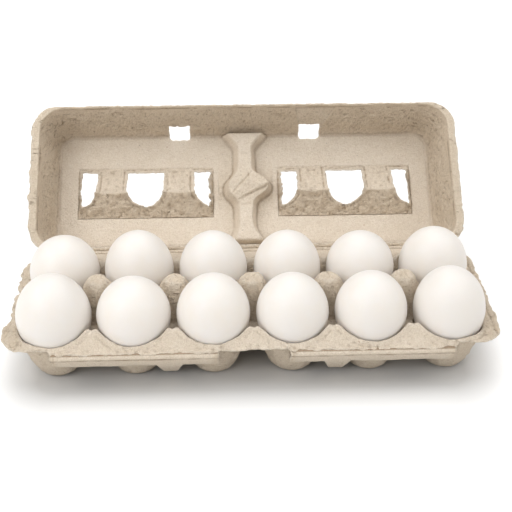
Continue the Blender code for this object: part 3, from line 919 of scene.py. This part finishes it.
def holes(x, p):
    """Negative inside any hole, with torn edges."""
    flat = np.stack([x, p, np.zeros_like(x)], axis=-1).reshape(-1, 3)
    torn = (GRAIN(flat + 3.3, 2.6 * MM) * 0.60 + GRAIN(flat + 6.1, 1.5 * MM) * 0.45) * MM
    torn = torn.reshape(x.shape)
    q = np.abs(np.abs(x) - VENT_X)
    ragged = 1 + 0.9 * smooth(q, WINDOW_OUTER - 5 * MM, WINDOW_OUTER - 1 * MM)
    return np.minimum(vent_opening(x, p) + ragged * torn, latch_opening(x, p) + 0.45 * torn)


def rib_edges(s):
    """Left and right half widths of the centre rib's crest: waists, a boss, flared ends."""
    to_front = smooth(s, 84 * MM, 99 * MM)
    to_hinge = 1 - smooth(s, 11 * MM, 27 * MM)
    boss_right = np.exp(-(np.abs((s - 55.5 * MM) / (8.2 * MM)) ** 2.6))
    boss_left = np.exp(-(np.abs((s - 54.5 * MM) / (9.5 * MM)) ** 3.0))
    right = (4.0 + 9.5 * to_front + 7.0 * to_hinge + 12.2 * boss_right) * MM
    left = (4.0 + 8.5 * to_front + 4.0 * to_hinge + 7.4 * boss_left) * MM
    wavy = GRAIN(np.stack([s, s * 0, s * 0], axis=-1) + 0.15, 7 * MM) * 0.6 * MM
    return left, right + wavy


def beyond_line(x, s, start, end):
    """Distance from a line, positive on the side towards the front wall."""
    run = np.array(end) - np.array(start)
    length = np.hypot(*run)
    return ((s - start[1]) * run[0] - (x - start[0]) * run[1]) / length


def rib_rise(x, s):
    """The rib with its steep right side, softer left side and folded boss."""
    left, right = rib_edges(s)
    side_right = 1 - smooth(x, right, right + 4.2 * MM)
    side_left = 1 - smooth(-x, left, left + 5.6 * MM)
    boss = np.exp(-(np.abs((s - 56.0 * MM) / (11 * MM)) ** 3.0))
    upper = beyond_line(x, s, (-9.4 * MM, 48.7 * MM), (4.6 * MM, 64.6 * MM))
    lower = beyond_line(x, s, (-5.5 * MM, 45.5 * MM), (8.5 * MM, 52.3 * MM))
    pillow = (1 - smooth(upper, -0.6 * MM, 1.4 * MM)) * smooth(lower, -1.2 * MM, 0.6 * MM)
    groove = bell(upper, 0.8 * MM) * boss
    crest = RIB_RISE + (1.7 * pillow * boss - 0.45 * groove) * MM
    dimple = bell(s - 41 * MM, 1.2 * MM) + bell(s - 80 * MM, 1.5 * MM)
    return (crest - 0.35 * MM * dimple) * side_right * side_left


def vent_rise(x, s, p):
    """The folded bridge of each vent, its frame, and the torn lips of its windows."""
    q = np.abs(np.abs(x) - VENT_X)
    up = (s - VENT_FOOT_S) / (CREST_S - VENT_FOOT_S)
    down = 1 - (s - CREST_S) / (WINDOW_HIGH_S + 2.0 * MM - CREST_S)
    fold = soft_max(soft_min(up, down, 0.07), 0.0, 0.12)
    ends = 1 - smooth(q, WINDOW_OUTER - 2.6 * MM, WINDOW_OUTER + 1.6 * MM)
    sag = 1 - 0.16 * np.cos(np.clip((q - 24 * MM) / (10.5 * MM), -1, 1) * pi / 2)
    bridge = BRIDGE_RISE * fold * ends * sag
    from_frame = np.maximum(q - VENT_HALF, np.maximum(s - VENT_TOP_S, VENT_FOOT_S - s))
    frame_line = bell(from_frame, 0.7 * MM)
    from_window = vent_opening(x, p)
    flat = np.stack([x, p, np.zeros_like(x)], axis=-1)
    patchy = smooth(GRAIN(flat + 2.2, 5 * MM), -0.35, 0.25)
    lip = 1 - smooth(from_window, 0.2 * MM, 1.6 * MM)
    tear = bell(from_window - 2.3 * MM, 0.55 * MM) * patchy
    inside = (from_frame < 0) * 1.0
    crumple = GRAIN(flat + 5.7, 3.2 * MM) * (from_frame < -1 * MM)
    return bridge + (0.5 * lip - 0.75 * tear * inside - 0.12 * frame_line + 0.75 * crumple) * MM


def lid_rise(x, s, p):
    """How far the rib, boss and vent bridges stand in from the panel."""
    on_panel = np.abs(np.abs(x) - VENT_X) < 55 * MM
    near_vent = on_panel & (s > 30 * MM) & (s < 78 * MM)
    return np.maximum(rib_rise(x, s), 0.0) + np.where(near_vent, vent_rise(x, s, p), 0.0)


def pulled_to_holes(x, p):
    """Points near a hole's outline, moved onto it."""
    step = 0.05 * MM
    farthest = 0.5 * MM
    for _ in range(4):
        value = holes(x, p)
        slope_x = (holes(x + step, p) - value) / step
        slope_p = (holes(x, p + step) - value) / step
        length = np.maximum(slope_x**2 + slope_p**2, 0.25)
        x = x - np.clip(value * slope_x / length, -farthest, farthest)
        p = p - np.clip(value * slope_p / length, -farthest, farthest)
    return x, p


def rounded_on_ring(x, s, ring):
    """Points of the square grid moved round the corners of their rings."""
    boxes = np.array([ring_box(k) for k in range(len(RINGS))] + [[9.0, -9.0, 9.0, 0.0]])
    half, low, high, corner = boxes[ring].T
    upper = s > (low + high) / 2
    centre_x = half - corner
    centre_s = np.where(upper, high - corner, low + corner)
    out_s = np.where(upper, s - centre_s, centre_s - s)
    in_corner = (np.abs(x) > centre_x) & (out_s > 0) & (ring < len(RINGS))
    angle = np.arctan2(out_s, np.abs(x) - centre_x)
    round_x = np.sign(x) * (centre_x + corner * np.cos(angle))
    round_s = centre_s + np.where(upper, 1, -1) * corner * np.sin(angle)
    return np.where(in_corner, round_x, x), np.where(in_corner, round_s, s)


def lid_sheet():
    """The inside of the lid as (x, s, h), with its holes cut to their outlines."""
    across, along = lid_lines()
    rows, columns = len(along), len(across)
    x, ring_across = (np.tile(values, rows) for values in zip(*across))
    s, ring_along, p = (np.repeat(values, columns) for values in zip(*along))
    s_line, _, path_line = zip(*along)
    h_line = [LID_DEPTH if line[1] < 0 else RINGS[line[1]][2] for line in along]

    # cut the holes: drop faces inside, then bring the edge points onto the outline
    faces = grid_faces(rows, columns)
    faces = faces[holes(x[faces].mean(axis=1), p[faces].mean(axis=1)) > 0]
    loose = np.unique(edges_of_sheet(faces))
    loose = loose[np.abs(holes(x[loose], p[loose])) < 1.6 * MM]
    x[loose], p[loose] = pulled_to_holes(x[loose], p[loose])
    s[loose] = np.interp(p[loose], path_line, s_line)

    # each point takes the outer of its two rings, and corners are rounded on that ring
    count = len(RINGS)
    outermost = np.where(ring_across < 0, count, ring_across)
    ring = np.minimum(outermost, np.where(ring_along < 0, count, ring_along))
    h = np.array([ring[2] for ring in RINGS] + [LID_DEPTH])[ring]
    h[loose] = np.interp(p[loose], path_line, h_line)
    x, s = rounded_on_ring(x, s, ring)
    inset = ring_inset(x, s)
    inner = 1 - smooth(inset, -2.5 * MM, 1.0 * MM)
    border = bell(inset + 1.6 * MM, 0.7 * MM) * (np.abs(x) > 16 * MM)
    floor = LID_DEPTH + 0.35 * MM * border - lid_rise(x, s, p) * inner
    return np.stack([x, s, soft_min(h, floor, 0.9 * MM)], axis=1), faces


def ring_inset(x, s):
    """Distance out past the panel's own edge, negative on the panel."""
    across = np.abs(x) - LID_HALF_PANEL
    along = np.maximum(s - LID_PANEL_S, LID_HINGE_PANEL_S - s)
    corner = LID_PANEL_CORNER
    dx, ds = across + corner, along + corner
    return np.hypot(np.maximum(dx, 0), np.maximum(ds, 0)) + np.minimum(np.maximum(dx, ds), 0) - corner


def wear_lid(points):
    """Wavy rim, softened and dented corners."""
    x, s, h = points.T
    out = points.copy()
    on_rim = 1 - smooth(h, 0, 7 * MM)
    flat = points * np.array([1.0, 1.0, 0.0])
    waves = GRAIN(flat + 1.9, 24 * MM) * 0.5 + GRAIN(flat + 3.2, 6 * MM) * 0.3
    out[:, 2] += on_rim * smooth(s, 2 * MM, 14 * MM) * np.maximum(waves, -0.15) * MM
    edge = 1 - smooth(np.minimum(LID_HALF_RIM - np.abs(x), LID_RIM_S - s), 0, 3 * MM)
    torn = GRAIN(flat + 8.8, 2.6 * MM) * 0.55 + GRAIN(flat + 5.5, 8 * MM) * 0.8
    torn = np.clip(torn, -1.3, 0.25) * MM * edge * on_rim
    at_end = LID_HALF_RIM - np.abs(x) < 3 * MM
    out[:, 0] += np.where(at_end, np.sign(x) * torn, 0)
    for place, width, size in LEFT_RIM_BLOBS:
        out[:, 0] -= np.where(x < 0, size * bell(s - place, width) * edge * on_rim, 0.0)
    out[:, 1] += np.where(LID_RIM_S - s < 3 * MM, np.clip(torn, -0.25 * MM, 0.1 * MM), 0)
    return out


def pressed_patch(x, s, h):
    """The flat patch pressed into the front wall between the right latch hole and the rim."""
    t = ramp(h, 22 * MM, 4 * MM)
    beside = np.maximum(mix(40, 36, t) * MM - x, x - mix(58, 65, t) * MM)
    outside = np.maximum(np.maximum(beside, h - 27 * MM), 3 * MM - h)
    return (1 - smooth(outside, -0.4 * MM, 0.4 * MM)) * (s > LID_PANEL_S - 1 * MM)


def lid_to_frame(points):
    """From the shut lid's own (x, s, h) to the open lid in the frame."""
    x, s, h = points.T
    y = HINGE.y + s * sin(LID_LEAN) + h * cos(LID_LEAN)
    z = HINGE.z + s * cos(LID_LEAN) - h * sin(LID_LEAN)
    return np.stack([x, y, z], axis=1)


def build_lid():
    points, faces = lid_sheet()
    x, s, _ = points.T
    # coarse faces: walls, vent slopes and the boss; the pulp colour gives them painted bounce light
    # and shade
    wall = smooth(ring_inset(x, s), -1 * MM, 2 * MM)
    vent = (np.abs(np.abs(x) - VENT_X) < VENT_HALF) & (s > VENT_FOOT_S) & (s < VENT_TOP_S)
    slope = (1 - smooth(s, CREST_S - 1 * MM, CREST_S + 1 * MM)) * vent
    boss = bell(s - 56 * MM, 14 * MM) * (np.abs(x) < 20 * MM)
    rough_and_painted_light = np.maximum(np.maximum(wall, 0.95 * slope), np.maximum(0.45 * boss, 0.35 * vent))
    patch = pressed_patch(x, s, points[:, 2])
    rough_and_painted_light = rough_and_painted_light * (1 - 0.40 * patch)
    points[:, 1] += 0.45 * MM * patch
    points = wear_lid(points)
    lid_height = points[:, 2]
    points = lid_to_frame(points)
    points, faces, used = used_only(points, faces)
    faces = turned_to(points, faces, len(faces) // 2, (0.0, -1.0, 1.0))
    normals = vertex_normals(points, faces)
    rough_and_painted_light = rough_and_painted_light[used]
    lid_height = lid_height[used]
    calm = 0.12 + 0.88 * smooth(lid_height, 2 * MM, 11 * MM)
    points = raised(points, normals, pulp_relief(points, rough_and_painted_light) * calm)
    # painted shade along a broken crease under the rim, which has no relief of its own, and cracks at
    # the front left corner, pressed in and darkened with painted shade
    x, s = x[used], s[used]
    flat = np.stack([x, s, np.zeros_like(x)], axis=-1)
    broken = smooth(GRAIN(flat + 4.4, 9 * MM), -0.5, 0.2) * (s > 14 * MM)
    crease_shade = 0.75 * broken * bell(lid_height - 2.3 * MM, 0.55 * MM)
    at_corner = smooth(-x, 112 * MM, 128 * MM) * smooth(s, 78 * MM, 92 * MM) * rough_and_painted_light
    veins = 1 - smooth(np.abs(GRAIN(points @ STREAK_TURN + 2.7, 5 * MM)), 0.0, 0.07)
    cracked = veins * at_corner * smooth(lid_height, 1 * MM, 4 * MM)
    points = raised(points, normals, -0.30 * MM * cracked)
    crease_shade = np.maximum(crease_shade, 0.7 * cracked)
    points, faces, looks = shell(points, faces, PULP, rough_and_painted_light, 0.10 * MM, crease_shade)
    lid = make_object("lid_pulp", points, faces, PULP_LOOK, looks)
    stand_for("lid")
    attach(lid, "lid")


build_lid()


# ---------------------------------------------------------------- flaps and folds


def curve_through(start, corner, end, count):
    """A rounded corner from start to end, by way of corner."""
    t = np.linspace(0, 1, count)[:, None]
    start, corner, end = (np.array(p)[None, :] for p in (start, corner, end))
    return start * (1 - t) ** 2 + corner * 2 * t * (1 - t) + end * t**2


def flap_section():
    """(y, z) down the flap from under the tray's edge, round the fold, to the flap's foot."""
    axis = np.array([FLAP_AXIS.y, FLAP_AXIS.z])
    up_apron = np.array([cos(APRON_SLOPE), sin(APRON_SLOPE)])
    down_flap = np.array([sin(FLAP_TUCK), -cos(FLAP_TUCK)])
    under = np.array([sin(APRON_SLOPE), -cos(APRON_SLOPE)])
    start = axis + 3.2 * MM * up_apron + 1.9 * MM * under
    bend = axis + 0.25 * MM * up_apron + 0.45 * MM * under
    end = axis + 2.3 * MM * down_flap
    fold = curve_through(start, bend, end, FOLD_STEPS)
    rest = axis + np.linspace(2.3 * MM, FLAP_HEIGHT, 13)[1:, None] * down_flap
    return np.concatenate([fold, rest]), down_flap


def tab_rows(root, foot):
    """Rows of points down the tab from the flap's foot, narrowing to its rounded tip."""
    bent = np.array([sin(FLAP_TUCK + TAB_BEND), -cos(FLAP_TUCK + TAB_BEND)])
    rows = []
    for t in np.arange(1, TAB_STEPS + 1) / TAB_STEPS:
        half = mix(TAB_ROOT_HALF, TAB_TIP_HALF, min(t / 0.85, 1.0))
        if t > 0.85:
            half -= 0.9 * MM * ((t - 0.85) / 0.15) ** 2
        row_x = TAB_X + (root - TAB_X) / TAB_ROOT_HALF * half
        y, z = foot + bent * TAB_LENGTH * t
        rows.append(np.stack([row_x, np.full_like(root, y), np.full_like(root, z)], axis=1))
    return np.concatenate(rows)


def flap_sheet(section):
    """The outer face of the right flap with its tab, as points and faces."""
    inner = np.linspace(FLAP_INNER_X, TAB_X - TAB_ROOT_HALF, 22)[:-1]
    root = np.linspace(TAB_X - TAB_ROOT_HALF, TAB_X + TAB_ROOT_HALF, 16)
    outer = np.linspace(TAB_X + TAB_ROOT_HALF, FLAP_OUTER_X, 62)[1:]
    points, faces = drawn_along_x(section, np.concatenate([inner, root, outer]))
    tab = tab_rows(root, section[-1])
    first = len(points) - len(outer) - len(root)
    numbers = np.concatenate([first + np.arange(len(root)), len(points) + np.arange(len(tab))])
    tab_faces = numbers[grid_faces(TAB_STEPS + 1, len(root))]
    return np.concatenate([points, tab]), np.concatenate([faces, tab_faces])


def build_flap(name, side):
    """A front flap with its tab, torn at both ends, that folds out of the tray's edge."""
    section, down_flap = flap_section()
    up_apron = np.array([cos(APRON_SLOPE), sin(APRON_SLOPE)])
    points, faces = flap_sheet(section)
    points[:, 0] *= side
    faces = turned_to(points, faces, len(faces) // 3, (0.0, -1.0, 0.0))
    normals = vertex_normals(points, faces)
    groove = bell(points[:, 2] - section[FOLD_STEPS - 1][1] + 0.2 * MM, 0.45 * MM)
    flat = points * np.array([1.0, 0.0, 1.0])
    depth = pulp_relief(points, 0.3) * 0.6 - groove * 0.55 * MM
    depth += (GRAIN(flat + 2.7, 11 * MM) + 1) * 0.12 * MM
    points = raised(points, normals, depth)
    ends = np.abs(points[:, 0])
    loose = np.maximum(
        1 - smooth(ends, FLAP_INNER_X, FLAP_INNER_X + 4 * MM),
        smooth(ends, FLAP_OUTER_X - 4 * MM, FLAP_OUTER_X),
    )
    points[:, 0] += loose * GRAIN(flat + 9.4, 2.6 * MM) * 0.8 * MM
    foot = smooth(section[-2][1] - points[:, 2], -2 * MM, 0)
    points[:, 2] += foot * GRAIN(flat + 4.4, 6 * MM) * 0.25 * MM
    points = points + normals * PULP
    # painted shadow on the fold under the tray's torn edge, and painted shade in the fold's groove
    rise = (points[:, 1:] - np.array([FLAP_AXIS.y, FLAP_AXIS.z])) @ up_apron
    under_edge_shadow = smooth(rise, 0.7 * MM, 1.4 * MM)
    crease_shade = np.maximum(groove * (0.75 + 0.5 * GRAIN(flat + 1.1, 5 * MM)), 0.9 * under_edge_shadow)
    rough_and_painted_light = mix(0.30, 1.0, loose)
    points, faces, looks = shell(points, faces, PULP, rough_and_painted_light, 0.06 * MM, crease_shade)
    flap = make_object(name + "_pulp", points, faces, PULP_LOOK, looks)
    stand_for(name)
    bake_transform(flap)


build_flap("flap_left", -1)
build_flap("flap_right", 1)


def build_lid_fold():
    """The strip between the tray and the lid, scored twice so that it folds."""
    axis = np.array([HINGE.y, HINGE.z])
    up_lid = np.array([sin(LID_LEAN), cos(LID_LEAN)])
    behind = np.array([cos(LID_LEAN), -sin(LID_LEAN)])
    start = np.array([TRAY_Y + BACK_EDGE_Y - 1.6 * MM, BACK_EDGE_Z - 0.25 * MM])
    end = axis + up_lid * 3.0 * MM + behind * 0.25 * MM
    bend = axis + np.array([0.2, -0.9]) * MM
    section = curve_through(start, bend, end, 18)
    half = LID_HALF_RIM - 15 * MM
    xs = np.linspace(-half, half, 230)
    points, faces = drawn_along_x(section, xs)
    faces = turned_to(points, faces, 0, (0.0, 0.0, 1.0))
    normals = vertex_normals(points, faces)
    step = np.repeat(np.arange(len(section)), len(xs))
    score = bell(step - 5.5, 0.9) + bell(step - 11.5, 0.9)
    rough_and_painted_light = np.full(len(points), 0.4)
    depth = pulp_relief(points, rough_and_painted_light) - 0.35 * MM * score
    points = raised(points, normals, depth)
    # the scores also get painted shade
    points, faces, looks = shell(points, faces, PULP * 0.85, rough_and_painted_light, 0.05 * MM, score * 0.6)
    fold = make_object("lid_fold", points, faces, PULP_LOOK, looks)
    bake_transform(fold)


build_lid_fold()


# ---------------------------------------------------------------- eggs

EGG_SEGMENTS = 72
EGG_RINGS = 48
EGG_TAPER = 0.13


def egg_points(radius, blunt, pointed, seed):
    """Turned shell, widest at its origin, blunt end up, very slightly out of round."""
    angle = np.linspace(0, pi, EGG_RINGS + 1)[1:-1]
    reach = np.cos(angle)
    girth = radius * np.sin(angle)
    t = np.maximum(-reach, 0.0)
    girth = girth * (1 - EGG_TAPER * t * (1 + t) / 2)
    height = np.where(reach > 0, reach * blunt, reach * pointed)
    turn = 2 * pi * np.arange(EGG_SEGMENTS) / EGG_SEGMENTS
    x = girth[:, None] * np.cos(turn)
    y = girth[:, None] * np.sin(turn)
    z = np.repeat(height[:, None], EGG_SEGMENTS, axis=1)
    points = np.stack([x, y, z], axis=2).reshape(-1, 3)
    points = np.concatenate([points, [[0, 0, blunt], [0, 0, -pointed]]])
    swell = GRAIN(points + seed, 24 * MM) * 0.16 * MM
    length = np.linalg.norm(points, axis=1, keepdims=True)
    return points * (1 + swell[:, None] / length)


def egg_faces():
    rings = EGG_RINGS - 1
    a = np.arange(EGG_SEGMENTS)
    b = (a + 1) % EGG_SEGMENTS
    faces = []
    for ring in range(rings - 1):
        upper, lower = ring * EGG_SEGMENTS, (ring + 1) * EGG_SEGMENTS
        faces.append(np.stack([upper + a, lower + a, lower + b, upper + b], axis=1))
    top = rings * EGG_SEGMENTS
    faces.append(np.stack([a * 0 + top, a, b, b], axis=1))
    last = (rings - 1) * EGG_SEGMENTS
    faces.append(np.stack([a * 0 + top + 1, last + b, last + a, last + a], axis=1))
    return np.concatenate(faces)


def build_egg(node, number):
    """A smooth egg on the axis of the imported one, between its two ends."""
    corners = np.array([v.co for v in frame["nodes"][node].data.vertices])
    top = Vector(corners[corners[:, 2].argmax()])
    bottom = Vector(corners[corners[:, 2].argmin()])
    low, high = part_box(node)
    axis = (top - bottom).normalized()
    length = (top - bottom).length
    pointed = 31.4 * MM
    girth = bottom + axis * pointed
    radius = (high.x - low.x + high.y - low.y) / 4 * 1.0155
    shell_look = egg_material(f"eggshell_{number}", 0.4 + 0.6 * ((number * 7) % 5) / 4)
    points = egg_points(radius, length - pointed, pointed, number * 0.37)
    egg = make_object(node + "_shell", points, egg_faces(), shell_look, {})
    egg.rotation_mode = "QUATERNION"
    egg.rotation_quaternion = Vector((0, 0, 1)).rotation_difference(axis)
    egg.location = girth
    stand_for(node)
    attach(egg, "tray")


for number in range(COLUMNS):
    build_egg(f"egg_front_{number + 1}", number)
    build_egg(f"egg_back_{number + 1}", number + COLUMNS)


# ---------------------------------------------------------------- floor, light, camera

FLOOR_HALF = 60.0
SOFTBOX_SIDE = 0.8
SOFTBOXES = (
    ("above", (0.0, 0.0, 1.3), 5.3),
    ("behind", (0.0, 0.8, 1.0), 3.6),
    ("left", (-0.95, 0.0, 0.9), 4.4),
    ("left_front", (-0.7, -0.7, 0.85), 7.1),
    ("right", (0.95, 0.0, 0.9), 4.8),
    ("right_front", (0.7, -0.7, 0.85), 2.4),
)
CAMERA_PLACE = (-0.0168, TRAY_Y - 0.4554, 0.3500)
CAMERA_PITCH = radians(32.31)
CAMERA_YAW = radians(2.46)
CAMERA_ROLL = radians(0.27)
CAMERA_LENS_MM = 62.23


def build_floor():
    """White ground that glows away from the carton, so that only the shade near it shows."""
    mesh = bpy.data.meshes.new("floor")
    corners = [(x * FLOOR_HALF, y * FLOOR_HALF, 0) for x, y in ((-1, -1), (1, -1), (1, 1), (-1, 1))]
    mesh.from_pydata(corners, [], [(0, 1, 2, 3)])
    floor = bpy.data.objects.new("floor", mesh)
    bpy.context.scene.collection.objects.link(floor)
    n = Nodes(bpy.data.materials.new("floor_white"))
    n.shader.inputs["Base Color"].default_value = (0.60, 0.595, 0.585, 1.0)
    place = n.add("ShaderNodeTexCoord").outputs["Object"]
    part = n.vector("ABSOLUTE", n.vector("SUBTRACT", place, (0.0, TRAY_Y, 0.0)))
    part = n.vector("MAXIMUM", n.vector("SUBTRACT", part, (0.118, 0.039, 0.0)))
    away = n.add("ShaderNodeVectorMath", {0: part}, operation="LENGTH").outputs["Value"]
    near_glow = n.spread(away, 0.012, 0.042, 0.0, 0.5)
    glow = n.maths("ADD", near_glow, n.spread(away, 0.5, 1.6, 0.0, 0.6))
    n.shader.inputs["Emission Color"].default_value = (1.0, 1.0, 1.0, 1.0)
    n.link(glow, n.shader.inputs["Emission Strength"])
    n.shader.inputs["Roughness"].default_value = 0.85
    n.shader.inputs["Specular IOR Level"].default_value = 0.1
    mesh.materials.append(n.material)


def add_softbox(name, place, power):
    """A square softbox aimed at the middle of the floor."""
    light = bpy.data.lights.new(name, "AREA")
    light.shape = "RECTANGLE"
    light.size = SOFTBOX_SIDE
    light.size_y = SOFTBOX_SIDE
    light.energy = power
    obj = bpy.data.objects.new(name, light)
    obj.location = place
    aim = Vector((0, 0, 0)) - Vector(place)
    obj.rotation_euler = aim.to_track_quat("-Z", "Y").to_euler()
    bpy.context.scene.collection.objects.link(obj)


def build_world():
    """Dim white surroundings, bright just above the horizon so that the floor runs into them."""
    world = bpy.data.worlds.new("studio")
    bpy.context.scene.world = world
    n = Nodes(world, "Background")
    n.shader.inputs["Color"].default_value = (1.0, 1.0, 1.0, 1.0)
    towards = n.add("ShaderNodeTexCoord").outputs["Generated"]
    height = n.add("ShaderNodeSeparateXYZ", {0: towards}).outputs["Z"]
    n.link(n.spread(height, 0.04, 0.14, 1.0, 0.17), n.shader.inputs["Strength"])


def build_camera():
    lens = bpy.data.cameras.new("view")
    lens.sensor_width = 36.0
    lens.lens = CAMERA_LENS_MM
    lens.clip_start = 0.01
    camera = bpy.data.objects.new("view", lens)
    turn = Matrix.Rotation(-CAMERA_YAW, 4, "Z") @ Matrix.Rotation(pi / 2 - CAMERA_PITCH, 4, "X")
    roll = Matrix.Rotation(CAMERA_ROLL, 4, "Z")
    camera.matrix_world = Matrix.Translation(CAMERA_PLACE) @ turn @ roll
    bpy.context.scene.collection.objects.link(camera)
    bpy.context.scene.camera = camera


build_floor()
build_world()
for softbox in SOFTBOXES:
    add_softbox(*softbox)
build_camera()
bpy.context.scene.view_settings.view_transform = "Standard"
